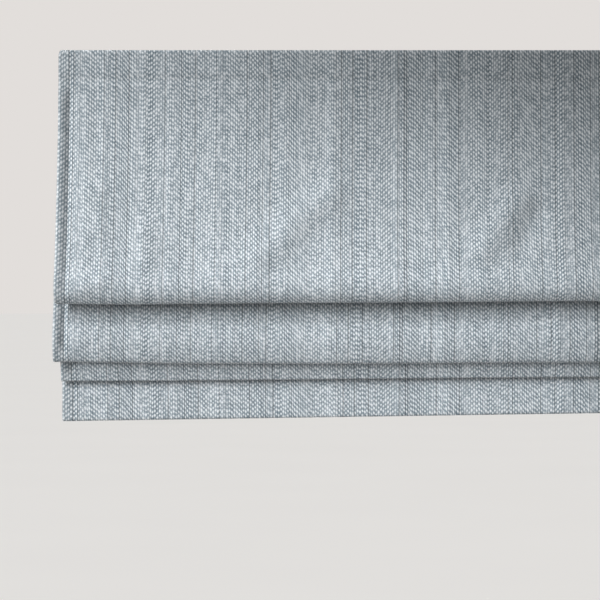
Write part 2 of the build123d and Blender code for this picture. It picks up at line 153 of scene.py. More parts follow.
# ----------------------------------------
# Moulded parts: end caps, spool cradles, cord grommets, spools, the motor's
# frame and drums, cord stops. All are injection moulded in natural acetal,
# a slightly warm white with a low satin shine and faint flow clouding.
# ----------------------------------------
acetal, tree, shader = new_material("natural_acetal", Roughness=0.34, IOR=1.48)
place = add_node(tree, "ShaderNodeTexCoord")
flow = add_node(
    tree, "ShaderNodeTexNoise", {"Vector": place.outputs["Object"], "Scale": 90.0, "Detail": 2.0}
)
tone = add_node(tree, "ShaderNodeValToRGB", {"Fac": flow})
for stop, position, colour in zip(tone.color_ramp.elements, (0.3, 0.75), ("E4E2D9", "EFEDE6")):
    stop.position, stop.color = position, linear(colour)
tree.links.new(tone.outputs[0], shader.inputs["Base Color"])
spark = add_node(
    tree, "ShaderNodeTexNoise", {"Vector": place.outputs["Object"], "Scale": 2600.0, "Detail": 1.0}
)
bump = add_node(tree, "ShaderNodeBump", {"Height": spark, "Strength": 0.2, "Distance": 0.00008})
tree.links.new(bump.outputs[0], shader.inputs["Normal"])
finish_nodes(
    acetal,
    "end_cap_left",
    "end_cap_right",
    "spool_cradle_left",
    "spool_cradle_right",
    "cord_grommet_left",
    "cord_grommet_right",
    "cord_spool_left",
    "cord_spool_right",
    "motor_frame",
    "motor_cover",
    "motor_storage_drum",
    "motor_output_drum",
    "cord_stop_left",
    "cord_stop_right",
)

# ----------------------------------------
# Spring motor strip: a coil of hard stainless strip that carries the blind's
# weight. The strip is bright rolled, with its grain running round the coil,
# and a faint straw tint left by stress relieving.
# ----------------------------------------
strip_steel, tree, shader = new_material("stainless_spring_strip", Metallic=1.0, Roughness=0.24)
place = add_node(tree, "ShaderNodeTexCoord")
grain = add_node(
    tree, "ShaderNodeMapping", {"Vector": place.outputs["Object"], "Scale": (6000.0, 60.0, 60.0)}
)
lines = add_node(tree, "ShaderNodeTexNoise", {"Vector": grain, "Scale": 1.0})
tone = add_node(tree, "ShaderNodeValToRGB", {"Fac": lines})
for stop, position, colour in zip(tone.color_ramp.elements, (0.3, 0.7), ("A8A49A", "C8C4BA")):
    stop.position, stop.color = position, linear(colour)
tree.links.new(tone.outputs[0], shader.inputs["Base Color"])
bump = add_node(tree, "ShaderNodeBump", {"Height": lines, "Strength": 0.2, "Distance": 0.00005})
tree.links.new(bump.outputs[0], shader.inputs["Normal"])
finish_nodes(strip_steel, "motor_spring")

# ----------------------------------------
# Lift shaft: hexagon bar, cold drawn and nickel plated. Drawing leaves fine
# straight lines along it, 0.1 to 0.3 mm apart, that still show in the plate.
# ----------------------------------------
drawn_steel, tree, shader = new_material("nickel_plated_drawn_steel", Metallic=1.0, Roughness=0.3)
place = add_node(tree, "ShaderNodeTexCoord")
grain = add_node(
    tree, "ShaderNodeMapping", {"Vector": place.outputs["Object"], "Scale": (20.0, 4000.0, 4000.0)}
)
lines = add_node(tree, "ShaderNodeTexNoise", {"Vector": grain, "Scale": 1.0})
tone = add_node(tree, "ShaderNodeValToRGB", {"Fac": lines})
for stop, position, colour in zip(tone.color_ramp.elements, (0.3, 0.7), ("A6A6A3", "C6C5C0")):
    stop.position, stop.color = position, linear(colour)
tree.links.new(tone.outputs[0], shader.inputs["Base Color"])
bump = add_node(tree, "ShaderNodeBump", {"Height": lines, "Strength": 0.3, "Distance": 0.00006})
tree.links.new(bump.outputs[0], shader.inputs["Normal"])
finish_nodes(drawn_steel, "lift_shaft")

# ----------------------------------------
# Hook tape, glued along the headrail's face, and the loop tape sewn to the
# back of the cloth. Both are white woven nylon: one has rows of stiff hooks
# at 1.5 mm, the other a brushed pile, so the cloth pulls off for washing.
# ----------------------------------------
tape_hook, tree, shader = new_material(
    "nylon_hook_tape", Base_Color=linear("E6E6E2"), Roughness=0.55
)
place = add_node(tree, "ShaderNodeTexCoord")
hooks = add_node(
    tree,
    "ShaderNodeTexVoronoi",
    {"Vector": place.outputs["Object"], "Scale": 660.0, "Randomness": 0.25},
)
tone = add_node(tree, "ShaderNodeValToRGB", {"Fac": hooks})
for stop, position, colour in zip(tone.color_ramp.elements, (0.15, 0.7), ("F0F0ED", "BDBDB9")):
    stop.position, stop.color = position, linear(colour)
tree.links.new(tone.outputs[0], shader.inputs["Base Color"])
bump = add_node(
    tree, "ShaderNodeBump", {"Height": hooks, "Strength": 0.8, "Distance": 0.0004}, invert=True
)
tree.links.new(bump.outputs[0], shader.inputs["Normal"])
finish_nodes(tape_hook, "hook_tape")

tape_loop, tree, shader = new_material(
    "nylon_loop_tape", Base_Color=linear("ECECE8"), Roughness=0.95, Sheen_Weight=0.3
)
place = add_node(tree, "ShaderNodeTexCoord")
pile = add_node(
    tree, "ShaderNodeTexNoise", {"Vector": place.outputs["Object"], "Scale": 2200.0, "Detail": 3.0}
)
tone = add_node(tree, "ShaderNodeValToRGB", {"Fac": pile})
for stop, position, colour in zip(tone.color_ramp.elements, (0.35, 0.6), ("CFCFCA", "F0F0EC")):
    stop.position, stop.color = position, linear(colour)
tree.links.new(tone.outputs[0], shader.inputs["Base Color"])
bump = add_node(tree, "ShaderNodeBump", {"Height": pile, "Strength": 0.9, "Distance": 0.0004})
tree.links.new(bump.outputs[0], shader.inputs["Normal"])
finish_nodes(tape_loop, "loop_tape")

# ----------------------------------------
# Face cloth: one width of polyester in a linen-look dobby weave, slate blue
# with pale flecks, turned back 16 mm down each side. It hangs from the header
# tape, falls in a soft panel, and is drawn up into three folds at the ribs.
# ----------------------------------------
half_width = 393.5
cloth_thickness = 0.9
strip_width = 14.0
# how much the lowest line of each fold rises, from place to place across
fold_tilt = [(-400, -0.8), (-320, -1.8), (-184, -0.4), (-2, 0.6), (179, 2.0), (400, 3.0)]
fold_sag = [(-400, 1.2), (-230, -0.8), (-60, -1.1), (180, 0.5), (400, 1.5)]
fold_slope = [(-400, -2.2), (230, 2.8), (400, 4.0)]
# the hem hangs a little out of level and to one side
hem_slope = 0.01493
hem_drop = -0.27
hem_shift = 2.2


def between(table, x):
    """Reads a value from pairs of place and value, rounded at each pair."""
    if x <= table[0][0]:
        return table[0][1]
    for (x0, v0), (x1, v1) in zip(table, table[1:]):
        if x <= x1:
            t = (x - x0) / (x1 - x0)
            t = 0.5 * t + 0.5 * t * t * (3 - 2 * t)
            return v0 + (v1 - v0) * t
    return table[-1][1]


def ease(t):
    t = min(1.0, max(0.0, t))
    return t * t * (3 - 2 * t)


def run_through(points, step):
    """A smooth line through (y, z) points, sampled about every step."""
    line = []
    for i in range(len(points) - 1):
        a = points[max(i - 1, 0)]
        b, c = points[i], points[i + 1]
        d = points[min(i + 2, len(points) - 1)]
        span = math.dist(b, c)
        back, ahead = max(math.dist(a, b), 1e-6), max(math.dist(c, d), 1e-6)
        slope_b = [
            (c[k] - b[k]) if a == b else (c[k] - a[k]) * span / (span + back) for k in (0, 1)
        ]
        slope_c = [
            (c[k] - b[k]) if d == c else (d[k] - b[k]) * span / (span + ahead) for k in (0, 1)
        ]
        count = max(1, round(span / step))
        for n in range(count):
            t = n / count
            h = (2 * t**3 - 3 * t**2 + 1, t**3 - 2 * t**2 + t, -2 * t**3 + 3 * t**2, t**3 - t**2)
            line.append(
                tuple(
                    h[0] * b[k] + h[1] * slope_b[k] + h[2] * c[k] + h[3] * slope_c[k]
                    for k in (0, 1)
                )
            )
    line.append(points[-1])
    return line


def rising_run(low, high, count):
    """A fold's back: from its lowest point up to the rib, steep in between."""
    line = []
    for n in range(count + 1):
        t = n / count
        line.append((low[0] + (high[0] - low[0]) * t, low[1] + (high[1] - low[1]) * ease(t)))
    return line


beside_edge = (2, 4, 6, 8, 10, 11, 12, 12.7, 13.4, 14.5, 16.5, 19, 23, 28)


def columns(edge, step):
    """Places across the front, closer together beside each stitched strip."""
    inner = [edge - d for d in beside_edge]
    start = inner[-1]
    count = round(2 * start / step)
    middle = [-start + 2 * start * n / count for n in range(1, count)]
    return [-x for x in inner] + middle + inner[::-1]


def face_columns(step):
    """(x, set-back, distance across the cloth), with both turned edges."""
    edge = half_width - cloth_thickness
    back = [(edge - 15.5, 1.3), (edge - 10, 1.3), (edge - 5, 1.3), (edge - 1.6, 1.3)]
    roll = [(edge - 0.6, 1.15), (edge - 0.1, 0.85), (edge, 0.6), (edge - 0.25, 0.3)]
    roll += [(edge - 0.9, 0.08)]
    side = back + roll
    row = [(-x, s) for x, s in side]
    row += [(x, 0.0) for x in columns(edge, step)]
    row += side[::-1]
    out, u = [], 0.0
    for k, (x, s) in enumerate(row):
        if k:
            u += math.dist((x, s), row[k - 1])
        out.append([x, s, u])
    middle = out[len(out) // 2]
    shift = middle[0] - middle[2]
    return [(x, s, u + shift) for x, s, u in out]


def lining_columns(step):
    edge = half_width - strip_width
    side = [(edge - 0.6, 1.9), (edge, 2.3), (edge - 1.5, 2.35), (edge - 4, 2.3)]
    side += [(edge - 7, 1.2), (edge - 10, 0.15)]
    row = [(-x, s) for x, s in side]
    start = edge - 14
    count = round(2 * start / step)
    row += [(-start + 2 * start * n / count, 0.15) for n in range(count + 1)]
    row += side[::-1]
    return [(x, s, x) for x, s in row]


# soft dents and ridges of the main panel: both ends as (x, z), half width and
# height
ridges = [
    ((-162, -218), (-86, -147), 14, 5.2), ((92, -210), (134, -152), 11, 4.2),
    ((138, -208), (158, -166), 9, -3.0), ((-350, -142), (-346, -182), 10, 3.0),
    ((-295, -190), (-291, -222), 10, 3.2), ((-358, -254), (-336, -239), 9, 2.6),
    ((-240, -95), (-225, -140), 20, 1.4), ((-20, -120), (-10, -175), 22, -1.7),
    ((255, -120), (285, -190), 18, 2.0), ((330, -205), (345, -170), 14, -1.8),
]


def panel_relief(x, z):
    total = 0.0
    for (x0, z0), (x1, z1), width, height in ridges:
        dx, dz = x1 - x0, z1 - z0
        t = ((x - x0) * dx + (z - z0) * dz) / (dx * dx + dz * dz)
        t = min(1.0, max(0.0, t))
        gap = (x - x0 - t * dx) ** 2 + (z - z0 - t * dz) ** 2
        total += height * math.exp(-gap / (2 * width * width))
    total += 1.1 * noise.noise(Vector((x / 95, z / 120, 3.1)))
    return total + 0.45 * noise.noise(Vector((x / 34, z / 60, 7.7)))


strip_profile = [
    (0, 0.9), (2, 1.9), (4, 1.4), (7, 0.1), (10, -2.2), (12, -3.5), (13, -3.7), (14.5, -3.0),
    (18, -1.2), (24, 0.9), (32, 1.2), (46, 0.0),
]


def strip_relief(x):
    """The stitched valley beside each turned edge, and the strip beyond it."""
    return between(strip_profile, half_width - abs(x))


def sew_sheet(name, rows, strips, inward, shape):
    """A sheet of cloth: rows go along it as (y, z), strips hold its columns,
    and inward is the side it turns its edges to. shape(x, z, share, down) gives
    how far a point moves in x, y and z, and how much of its set-back it keeps.
    share is how far along the sheet it is, 0 to 1, and down is that in mm."""
    lengths = [0.0]
    for a, b in zip(rows, rows[1:]):
        lengths.append(lengths[-1] + math.dist(a, b))
    vertices, faces, flat = [], [], []
    for strip in strips:
        first, wide = len(vertices), len(strip)
        for i, (y, z) in enumerate(rows):
            for x, set_back, u in strip:
                dx, dy, dz, keep = shape(x, z, i / (len(rows) - 1), lengths[i])
                at = (x + dx, y + dy + inward * set_back * keep, z + dz)
                vertices.append([value * mm for value in at])
                flat.append((u * mm, lengths[i] * mm))
        for i in range(len(rows) - 1):
            for j in range(wide - 1):
                a = first + i * wide + j
                faces.append((a, a + wide, a + wide + 1, a + 1))
    mesh = bpy.data.meshes.new(name)
    mesh.from_pydata(vertices, [], faces)
    layer = mesh.uv_layers.new(name="cloth")
    for loop in mesh.loops:
        layer.data[loop.index].uv = flat[loop.vertex_index]
    mesh.polygons.foreach_set("use_smooth", [True] * len(faces))
    sheet = bpy.data.objects.new(name, mesh)
    bpy.context.scene.collection.objects.link(sheet)
    return sheet, lengths[-1] * mm


def give_thickness(sheet, thickness, outward):
    solid = sheet.modifiers.new("thickness", "SOLIDIFY")
    solid.thickness = thickness * mm
    solid.offset = 1.0 if outward else -1.0
    solid.use_even_offset = False


def shift_cloth(sheet, start):
    """Carries the weave on from the piece above, start metres down."""
    for corner in sheet.data.uv_layers["cloth"].data:
        corner.uv[1] += start


# Linen-look dobby: warp ribs 2.7 mm apart with floats every 5.3 mm. The
# finest yarns are drawn about twice their real size so that they show. The
# colour follows the weave's height, so the gaps between yarns carry painted shade.
rib_pitch = 2.7
float_pitch = 5.3
stripe_repeat = 131
cloth, tree, shader = new_material(
    "linen_look_polyester", Roughness=0.88, Sheen_Weight=0.15, Sheen_Roughness=0.4
)
shader.inputs["Specular IOR Level"].default_value = 0.25
flat = add_node(tree, "ShaderNodeUVMap", uv_map="cloth")
axes = add_node(tree, "ShaderNodeSeparateXYZ", {0: flat})
across, along = axes.outputs[0], axes.outputs[1]
# ribs of uneven width
drift = add_node(
    tree, "ShaderNodeTexNoise", {"W": across, "Scale": 60.0, "Detail": 1.0}, noise_dimensions="1D"
)
drift = add_node(tree, "ShaderNodeMath", {0: drift, 1: 0.9}, operation="MULTIPLY")
rib = add_node(
    tree,
    "ShaderNodeMath",
    {0: across, 1: 1 / (rib_pitch * mm), 2: drift},
    operation="MULTIPLY_ADD",
)
rib_number = add_node(tree, "ShaderNodeMath", {0: rib}, operation="FLOOR")
rib_place = add_node(tree, "ShaderNodeMath", {0: rib}, operation="FRACT")
rib_chance = add_node(tree, "ShaderNodeTexWhiteNoise", {"W": rib_number}, noise_dimensions="1D")
chances = add_node(tree, "ShaderNodeSeparateColor", {0: rib_chance.outputs["Color"]})
# floats step half a repeat from rib to rib, and lean down to the right
steps = add_node(tree, "ShaderNodeMath", {0: chances.outputs[0], 1: 0.3}, operation="MULTIPLY")
steps = add_node(
    tree, "ShaderNodeMath", {0: rib_number, 1: 0.5, 2: steps}, operation="MULTIPLY_ADD"
)
lean_drift = add_node(
    tree, "ShaderNodeTexNoise", {"W": across, "Scale": 30.0, "Detail": 0.0}, noise_dimensions="1D"
)
lean = add_node(
    tree, "ShaderNodeMapRange", {"Value": lean_drift, 1: 0.3, 2: 0.7, 3: 0.1, 4: -0.45}
)
lean = add_node(tree, "ShaderNodeMath", {0: rib_place, 1: lean}, operation="MULTIPLY")
start = add_node(tree, "ShaderNodeMath", {0: steps, 1: lean}, operation="ADD")
jitter = add_node(tree, "ShaderNodeTexNoise", {"Vector": flat, "Scale": 150.0, "Detail": 1.0})
start = add_node(tree, "ShaderNodeMath", {0: jitter, 1: 0.45, 2: start}, operation="MULTIPLY_ADD")
pick = add_node(
    tree,
    "ShaderNodeMath",
    {0: along, 1: 1 / (float_pitch * mm), 2: start},
    operation="MULTIPLY_ADD",
)
pick_number = add_node(tree, "ShaderNodeMath", {0: pick}, operation="FLOOR")
# crowns: 1 on the middle of each rib and of each float
crowns = []
for phase in (rib, pick):
    angle = add_node(tree, "ShaderNodeMath", {0: phase, 1: 2 * math.pi}, operation="MULTIPLY")
    wave = add_node(tree, "ShaderNodeMath", {0: angle}, operation="COSINE")
    crowns.append(
        add_node(tree, "ShaderNodeMath", {0: wave, 1: -0.5, 2: 0.5}, operation="MULTIPLY_ADD")
    )
rib_crown, pick_crown = crowns
short_crown = add_node(tree, "ShaderNodeMath", {0: pick_crown, 1: 2.2}, operation="POWER")
float_yarn = add_node(tree, "ShaderNodeMath", {0: rib_crown, 1: short_crown}, operation="MULTIPLY")
# the gaps between ribs and floats: sunk in the relief, and through the colour below painted darker
# as shade
rib_gap = add_node(tree, "ShaderNodeMath", {0: 1.0, 1: rib_crown}, operation="SUBTRACT")
pick_gap = add_node(tree, "ShaderNodeMath", {0: 1.0, 1: pick_crown}, operation="SUBTRACT")
gap_depth_and_shade = add_node(tree, "ShaderNodeMath", {0: rib_gap, 1: pick_gap}, operation="MULTIPLY")
# the floats stand clear in some stripes of the cloth and sink in in others
crispness = add_node(
    tree, "ShaderNodeTexNoise", {"W": across, "Scale": 75.0, "Detail": 2.0}, noise_dimensions="1D"
)
crispness = add_node(
    tree, "ShaderNodeMapRange", {"Value": crispness, 1: 0.35, 2: 0.65, 3: 0.35, 4: 1.3}
)
float_yarn = add_node(tree, "ShaderNodeMath", {0: float_yarn, 1: 0.22}, operation="SUBTRACT")
float_yarn = add_node(
    tree, "ShaderNodeMath", {0: float_yarn, 1: crispness, 2: 0.22}, operation="MULTIPLY_ADD"
)
height = add_node(
    tree, "ShaderNodeMath", {0: float_yarn, 1: 0.55, 2: 0.27}, operation="MULTIPLY_ADD"
)
height = add_node(tree, "ShaderNodeMath", {0: gap_depth_and_shade, 1: -0.26, 2: height}, operation="MULTIPLY_ADD")
# each float and each rib a little lighter or darker than the next
place_2d = add_node(tree, "ShaderNodeCombineXYZ", {0: rib_number, 1: pick_number})
float_chance = add_node(
    tree, "ShaderNodeTexWhiteNoise", {"Vector": place_2d}, noise_dimensions="2D"
)
height = add_node(
    tree, "ShaderNodeMath", {0: float_chance, 1: 0.2, 2: height}, operation="MULTIPLY_ADD"
)
height = add_node(
    tree, "ShaderNodeMath", {0: chances.outputs[1], 1: 0.05, 2: height}, operation="MULTIPLY_ADD"
)
# spun fibres, 0.25 mm, along the warp
fibre_map = add_node(tree, "ShaderNodeMapping", {"Vector": flat, "Scale": (4000.0, 900.0, 1.0)})
fibre = add_node(tree, "ShaderNodeTexNoise", {"Vector": fibre_map, "Scale": 1.0, "Detail": 2.0})
height = add_node(tree, "ShaderNodeMath", {0: fibre, 1: 0.22, 2: height}, operation="MULTIPLY_ADD")
# uneven spinning, thick and thin places about 1.5 mm long
spinning = add_node(tree, "ShaderNodeTexNoise", {"Vector": flat, "Scale": 620.0, "Detail": 2.0})
height = add_node(
    tree, "ShaderNodeMath", {0: spinning, 1: 0.42, 2: height}, operation="MULTIPLY_ADD"
)
# colour from the height: the pale float crowns are the cloth's flecks, and the sunk gaps between
# yarns are painted shade
weave_colour_and_gap_shade = add_node(tree, "ShaderNodeValToRGB", {"Fac": height})
ramp = weave_colour_and_gap_shade.color_ramp
ramp.elements[0].position = 0.2
ramp.elements[0].color = linear("35444D")
ramp.elements[1].position = 1.0
ramp.elements[1].color = linear("DADFE3")
for position, colour in ((0.42, "5F6E77"), (0.6, "818D95"), (0.8, "A9B2B8")):
    ramp.elements.new(position).color = linear(colour)
# stripes that repeat every 131 mm: pale slub warps and fine dark ones
repeat = add_node(
    tree,
    "ShaderNodeMath",
    {0: across, 1: 1 / (stripe_repeat * mm), 2: 2.6473},
    operation="MULTIPLY_ADD",
)
repeat = add_node(tree, "ShaderNodeMath", {0: repeat}, operation="FRACT")
# place across the repeat, and how light the cloth is there
stripe_shades = [
    (0.035, 0.8), (0.075, 0.735), (0.085, 0.62), (0.091, 0.735), (0.125, 0.74),
    (0.13, 0.65), (0.136, 0.735), (0.24, 0.735), (0.3, 0.765), (0.34, 0.735),
    (0.38, 0.765), (0.404, 0.735), (0.41, 0.58), (0.416, 0.735), (0.56, 0.735),
    (0.6, 0.8), (0.64, 0.735), (0.669, 0.73), (0.675, 0.6), (0.681, 0.73),
    (0.829, 0.73), (0.835, 0.64), (0.841, 0.735), (0.88, 0.765), (0.95, 0.745),
]
stripes = add_node(tree, "ShaderNodeValToRGB", {"Fac": repeat})
ramp = stripes.color_ramp
ramp.elements[0].position = 0.0
ramp.elements[0].color = (0.79, 0.79, 0.79, 1)
ramp.elements[1].position = 1.0
ramp.elements[1].color = (0.79, 0.79, 0.79, 1)
for position, value in stripe_shades:
    ramp.elements.new(position).color = (value, value, value, 1)
uneven = add_node(
    tree,
    "ShaderNodeTexNoise",
    {"W": across, "Scale": 150.0, "Detail": 2.0, "Roughness": 0.7},
    noise_dimensions="1D",
)
uneven = add_node(
    tree, "ShaderNodeMapRange", {"Value": uneven, 1: 0.25, 2: 0.75, 3: 0.95, 4: 1.05}
)
# about one rib in eight has a dark yarn down its side
dark_end = add_node(
    tree, "ShaderNodeMath", {0: chances.outputs[2], 1: 0.88}, operation="GREATER_THAN"
)
dark_side = add_node(tree, "ShaderNodeMath", {0: rib_place, 1: 0.45}, operation="LESS_THAN")
dark_end = add_node(tree, "ShaderNodeMath", {0: dark_end, 1: dark_side}, operation="MULTIPLY")
uneven = add_node(
    tree, "ShaderNodeMath", {0: dark_end, 1: -0.42, 2: uneven}, operation="MULTIPLY_ADD"
)
colour = add_node(tree, "ShaderNodeVectorMath", {0: weave_colour_and_gap_shade, 1: stripes}, operation="MULTIPLY")
dyed = add_node(tree, "ShaderNodeVectorMath", {0: colour, "Scale": uneven}, operation="SCALE")
dyed = add_node(tree, "ShaderNodeVectorMath", {0: dyed, "Scale": 0.69}, operation="SCALE")
tree.links.new(dyed.outputs[0], shader.inputs["Base Color"])
bump = add_node(tree, "ShaderNodeBump", {"Height": height, "Strength": 0.5, "Distance": 0.0005})
tree.links.new(bump.outputs[0], shader.inputs["Normal"])

# the header and main panel, down to the lowest point of the first fold
front_1 = [
    (-52.2, 18.6), (-52.2, 20.3), (-52.8, 21.1), (-53.4, 20.3), (-53.5, 17), (-53.7, 10),
    (-54.0, 2), (-54.2, -5), (-54.2, -15), (-54.4, -22), (-55.2, -40), (-57.8, -80), (-63.2, -130),
    (-71.0, -185), (-80.6, -228), (-86.2, -244), (-87.3, -251), (-87.0, -256.5), (-85.6, -260.8),
    (-83.2, -264.2), (-80.3, -266.8), (-77.4, -268.1),
]
crest_1 = (-40.5, -107.0)
front_2 = [
    crest_1, (-38.9, -107.5), (-37.9, -109.6), (-38.6, -112.6), (-41.9, -117.5), (-46.3, -126),
    (-47.9, -134), (-48.2, -145), (-50.5, -190), (-56.8, -260), (-62.8, -299), (-64.4, -309),
    (-64.5, -315), (-63.8, -321), (-62.4, -327), (-60.8, -331.8), (-59.0, -335.4), (-56.6, -337.1),
]
crest_2 = (-41.5, -119.0)
front_3 = [
    crest_2, (-40.1, -119.5), (-39.2, -121.5), (-39.5, -125), (-41, -130), (-41.3, -145),
    (-42.5, -200), (-46.0, -280), (-49.3, -318), (-49.8, -327), (-49.2, -334), (-47.6, -340.5),
    (-45.9, -346.5), (-44.5, -351.5), (-43.5, -355.2), (-42.4, -357.1),
]
crest_3 = (-38.6, -131.0)
hem_line = [
    crest_3, (-37.3, -131.4), (-36.3, -133.3), (-35.9, -137), (-35.9, -160), (-35.9, -200),
    (-35.9, -300), (-35.9, -378), (-35.9, -392), (-35.9, -397.2), (-35.4, -398.6), (-34.2, -399.1),
    (-33.0, -398.6), (-32.5, -397.2), (-32.45, -392), (-32.45, -376), (-32.7, -367),
    (-34.6, -362.6),
]


def shape_front_1(x, z, share, down):
    hang = ease((12 - z) / 30)
    fall = ease((z + 268.1) / 26)
    right = 1 + 0.4 * x / half_width
    valley = 1.6 * right * math.exp(-(((z + 12) / 3.8) ** 2))
    bulge = -0.2 * math.exp(-(((z + 2) / 8.0) ** 2))
    relief = panel_relief(x, z) * hang * fall * ease((-20 - z) / 50)
    relief += strip_relief(x) * (0.35 + 0.65 * ease((-18 - z) / 20)) * fall * hang
    corner = -1.6 * ease((z - 17.5) / 4) * math.copysign(1, x) * (abs(x) > 386)
    dz = between(fold_tilt, x) * ease((-120 - z) / 140)
    keep = (0.1 + 0.9 * ease((-20 - z) / 14)) * ease((z + 268.3) / 10) if down > 5 else 0
    return corner - 1.6 * ease(-z / 260), valley + bulge - relief, dz, keep


def shape_back(dx_low, dx_high, tilt, reach):
    """A fold's back, pressed flatter where it reaches less far out."""

    def shape(x, z, share, down):
        keep = min(1.0, share / 0.2, (1 - share) / 0.2) * min(1.0, reach / 25)
        dx = dx_low + (dx_high - dx_low) * share
        return dx, 0.0, tilt(x) * (1 - ease(share * 1.6)), keep

    return shape


def shape_front(top, low, dx_top, dx_low, tilt, size):
    """A lower fold's front, from its crest at top to its lowest point."""

    def shape(x, z, share, down):
        t = (top - z) / (top - low)
        fall = ease((z - low) / 24) * ease((top - z - 22) / 40)
        relief = size * noise.noise(Vector((x / 70, z / 50, top)))
        relief += 0.4 * size * noise.noise(Vector((x / 24, z / 40, low)))
        # the strip stands out only lower down, clear of the fold's own back
        relief += strip_relief(x) * ease((top - z - 60) / 90)
        keep = ease((z - low + 0.2) / 10) * ease(down / 8)
        dz = tilt(x) * ease((t - 0.3) / 0.5)
        return dx_top + (dx_low - dx_top) * ease(t), -relief * fall, dz, keep

    return shape


def tilt_1(x):
    return between(fold_tilt, x)


def tilt_2(x):
    return between(fold_sag, x)


def tilt_3(x):
    return between(fold_slope, x)


# length down the hem's front, past which the cloth is the pocket's back
pocket_start = 276


def shape_hem(x, z, share, down):
    t = ease((-170 - z) / 190)
    behind = down > pocket_start
    flat_part = 0.0 if behind else ease((-150 - z) / 60) * ease((z + 397) / 12)
    relief = 0.35 * noise.noise(Vector((x / 60, z / 40, 1.9)))
    relief += 0.2 * strip_relief(x)
    dz = (hem_slope * x + hem_drop) * t
    keep = 0.35 * ease(down / 8) * (0.0 if behind else 1.0)
    keep *= ease((z + 399) / 25)
    return hem_shift, -relief * flat_part, dz, keep


fold_backs = [
    (front_1[-1], crest_1, -1.6, -3.0, tilt_1, "rail", "gather_1"),
    (front_2[-1], crest_2, -5.8, -2.0, tilt_2, "gather_1", "gather_2"),
    (front_3[-1], crest_3, 1.7, 2.2, tilt_3, "gather_2", "gather_3"),
]
face_fronts = [
    (run_through(front_1, 3.0), 1, shape_front_1, "rail"),
    (run_through(front_2, 3.0), 1, shape_front(-107, -337.1, -3.0, -5.8, tilt_2, 0.9), "gather_1"),
    (run_through(front_3, 3.0), 1, shape_front(-119, -357.1, -2.0, 1.7, tilt_3, 0.7), "gather_2"),
]
face_pieces = []
worn = 0.0
for k in range(3):
    rows, inward, shape, body = face_fronts[k]
    piece, length = sew_sheet(
        f"face_cloth_front_{k + 1}", rows, [face_columns(4.0)], inward, shape
    )
    shift_cloth(piece, worn)
    worn += length
    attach(piece, body)
    face_pieces.append(piece)
    low, high, dx_low, dx_high, tilt, upper, lower = fold_backs[k]
    piece, length = sew_sheet(
        f"face_cloth_back_{k + 1}",
        rising_run(low, high, 56),
        [face_columns(6.0)],
        -1,
        shape_back(dx_low, dx_high, tilt, high[0] - low[0]),
    )
    shift_cloth(piece, worn)
    worn += length
    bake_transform(piece)
    face_pieces.append(piece)
hem, length = sew_sheet(
    "face_cloth_hem", run_through(hem_line, 3.0), [face_columns(4.0)], 1, shape_hem
)
shift_cloth(hem, worn)
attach(hem, "gather_3")
face_pieces.append(hem)
for k, piece in enumerate(face_pieces):
    give_thickness(piece, cloth_thickness, True)
    piece.data.materials.append(cloth)
    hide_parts(f"face_cloth_{min(k // 2, 3) + 1}")

# ----------------------------------------
# Lining: a plain off-white polyester-cotton, sewn over the turned side edges
# and into the bar pocket, with a rolled edge. It keeps the sun off the face
# cloth and carries the rib sleeves.
# ----------------------------------------
lining_thickness = 0.4
# Fine plain weave, 0.55 mm between yarns: matt, with slubs that show as a
# faint mottle.
lining_cloth, tree, shader = new_material("cotton_blend_lining", Roughness=0.9, Sheen_Weight=0.1)
flat = add_node(tree, "ShaderNodeUVMap", uv_map="cloth")
axes = add_node(tree, "ShaderNodeSeparateXYZ", {0: flat})
waves = []
for axis in axes.outputs[:2]:
    angle = add_node(
        tree, "ShaderNodeMath", {0: axis, 1: 2 * math.pi / (0.55 * mm)}, operation="MULTIPLY"
    )
    waves.append(add_node(tree, "ShaderNodeMath", {0: angle}, operation="SINE"))
crossing = add_node(tree, "ShaderNodeMath", dict(enumerate(waves)), operation="MULTIPLY")
slub_map = add_node(tree, "ShaderNodeMapping", {"Vector": flat, "Scale": (900.0, 90.0, 1.0)})
slub = add_node(tree, "ShaderNodeTexNoise", {"Vector": slub_map, "Scale": 1.0, "Detail": 3.0})
height = add_node(
    tree, "ShaderNodeMath", {0: crossing, 1: 0.25, 2: slub}, operation="MULTIPLY_ADD"
)
tone = add_node(tree, "ShaderNodeValToRGB", {"Fac": height})
for stop, position, colour in zip(tone.color_ramp.elements, (0.25, 0.75), ("DAD7CD", "EFEDE6")):
    stop.position, stop.color = position, linear(colour)
tree.links.new(tone.outputs[0], shader.inputs["Base Color"])
bump = add_node(tree, "ShaderNodeBump", {"Height": height, "Strength": 0.5, "Distance": 0.0003})
tree.links.new(bump.outputs[0], shader.inputs["Normal"])

lining_pieces = []
for k in range(3):
    rows, inward, shape, body = face_fronts[k]
    if k == 0:
        rows = run_through([(-53.4, 19.6)] + front_1[4:], 5.0)
    piece, length = sew_sheet(f"lining_front_{k + 1}", rows, [lining_columns(8.0)], inward, shape)
    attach(piece, body)
    lining_pieces.append(piece)
    low, high, dx_low, dx_high, tilt, upper, lower = fold_backs[k]
    piece, length = sew_sheet(
        f"lining_back_{k + 1}",
        rising_run(low, high, 40),
        [lining_columns(8.0)],
        -1,
        shape_back(dx_low, dx_high, tilt, high[0] - low[0]),
    )
    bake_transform(piece)
    lining_pieces.append(piece)
hem_lining, length = sew_sheet(
    "lining_hem", run_through(hem_line[:8], 5.0), [lining_columns(8.0)], 1, shape_hem
)
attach(hem_lining, "gather_3")
lining_pieces.append(hem_lining)
for k, piece in enumerate(lining_pieces):
    give_thickness(piece, lining_thickness, False)
    piece.data.materials.append(lining_cloth)
    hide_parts(f"lining_{min(k // 2, 3) + 1}")

